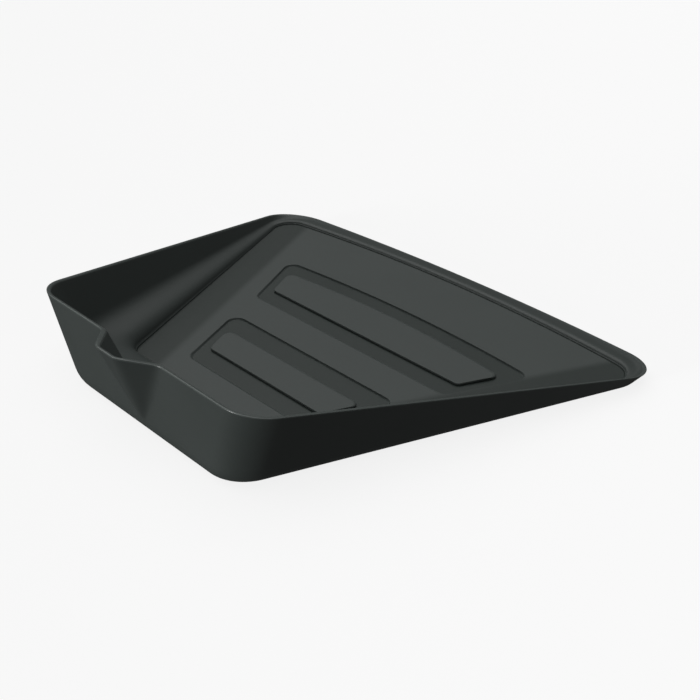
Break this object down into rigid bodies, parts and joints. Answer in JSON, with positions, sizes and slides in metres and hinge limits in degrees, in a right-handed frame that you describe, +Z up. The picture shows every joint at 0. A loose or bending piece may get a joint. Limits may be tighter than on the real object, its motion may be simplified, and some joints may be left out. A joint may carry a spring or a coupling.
{
  "type": "paint roller tray",
  "caption": "Tapered moulded tray with a deep well, a pour spout in its end wall and a low wide mouth; a drop-in floor panel carries raised roll-off bars in grooves.",
  "frame": {"origin": "below the middle of the tray's box, on the surface that the feet stand on", "axes": "+X across the tray to the right as seen from the pour spout, +Y from the deep spout end towards the wide mouth, +Z up"},
  "size_m": [0.3818, 0.3314, 0.0694],
  "materials": {
    "shell_plastic": "moulded, fine matte grain",
    "panel_plastic": "moulded, fine matte grain",
    "bar_plastic": "moulded, fine matte grain",
    "foot_rubber": "matte"
  },
  "bodies": {
    "tray": {"tray_shell": "shell_plastic", "foot_spout_end_left": "foot_rubber", "foot_spout_end_right": "foot_rubber", "foot_mouth_left": "foot_rubber", "foot_mouth_right": "foot_rubber"},
    "floor": {"floor_panel": "panel_plastic", "front_rolloff_bar": "bar_plastic", "rear_rolloff_bar": "bar_plastic"}
  },
  "joints": [
    {"name": "panel_lift", "type": "slide", "parent": "tray", "child": "floor", "axis": [0, 0, 1], "range_m": [0, 0.07]}
  ]
}
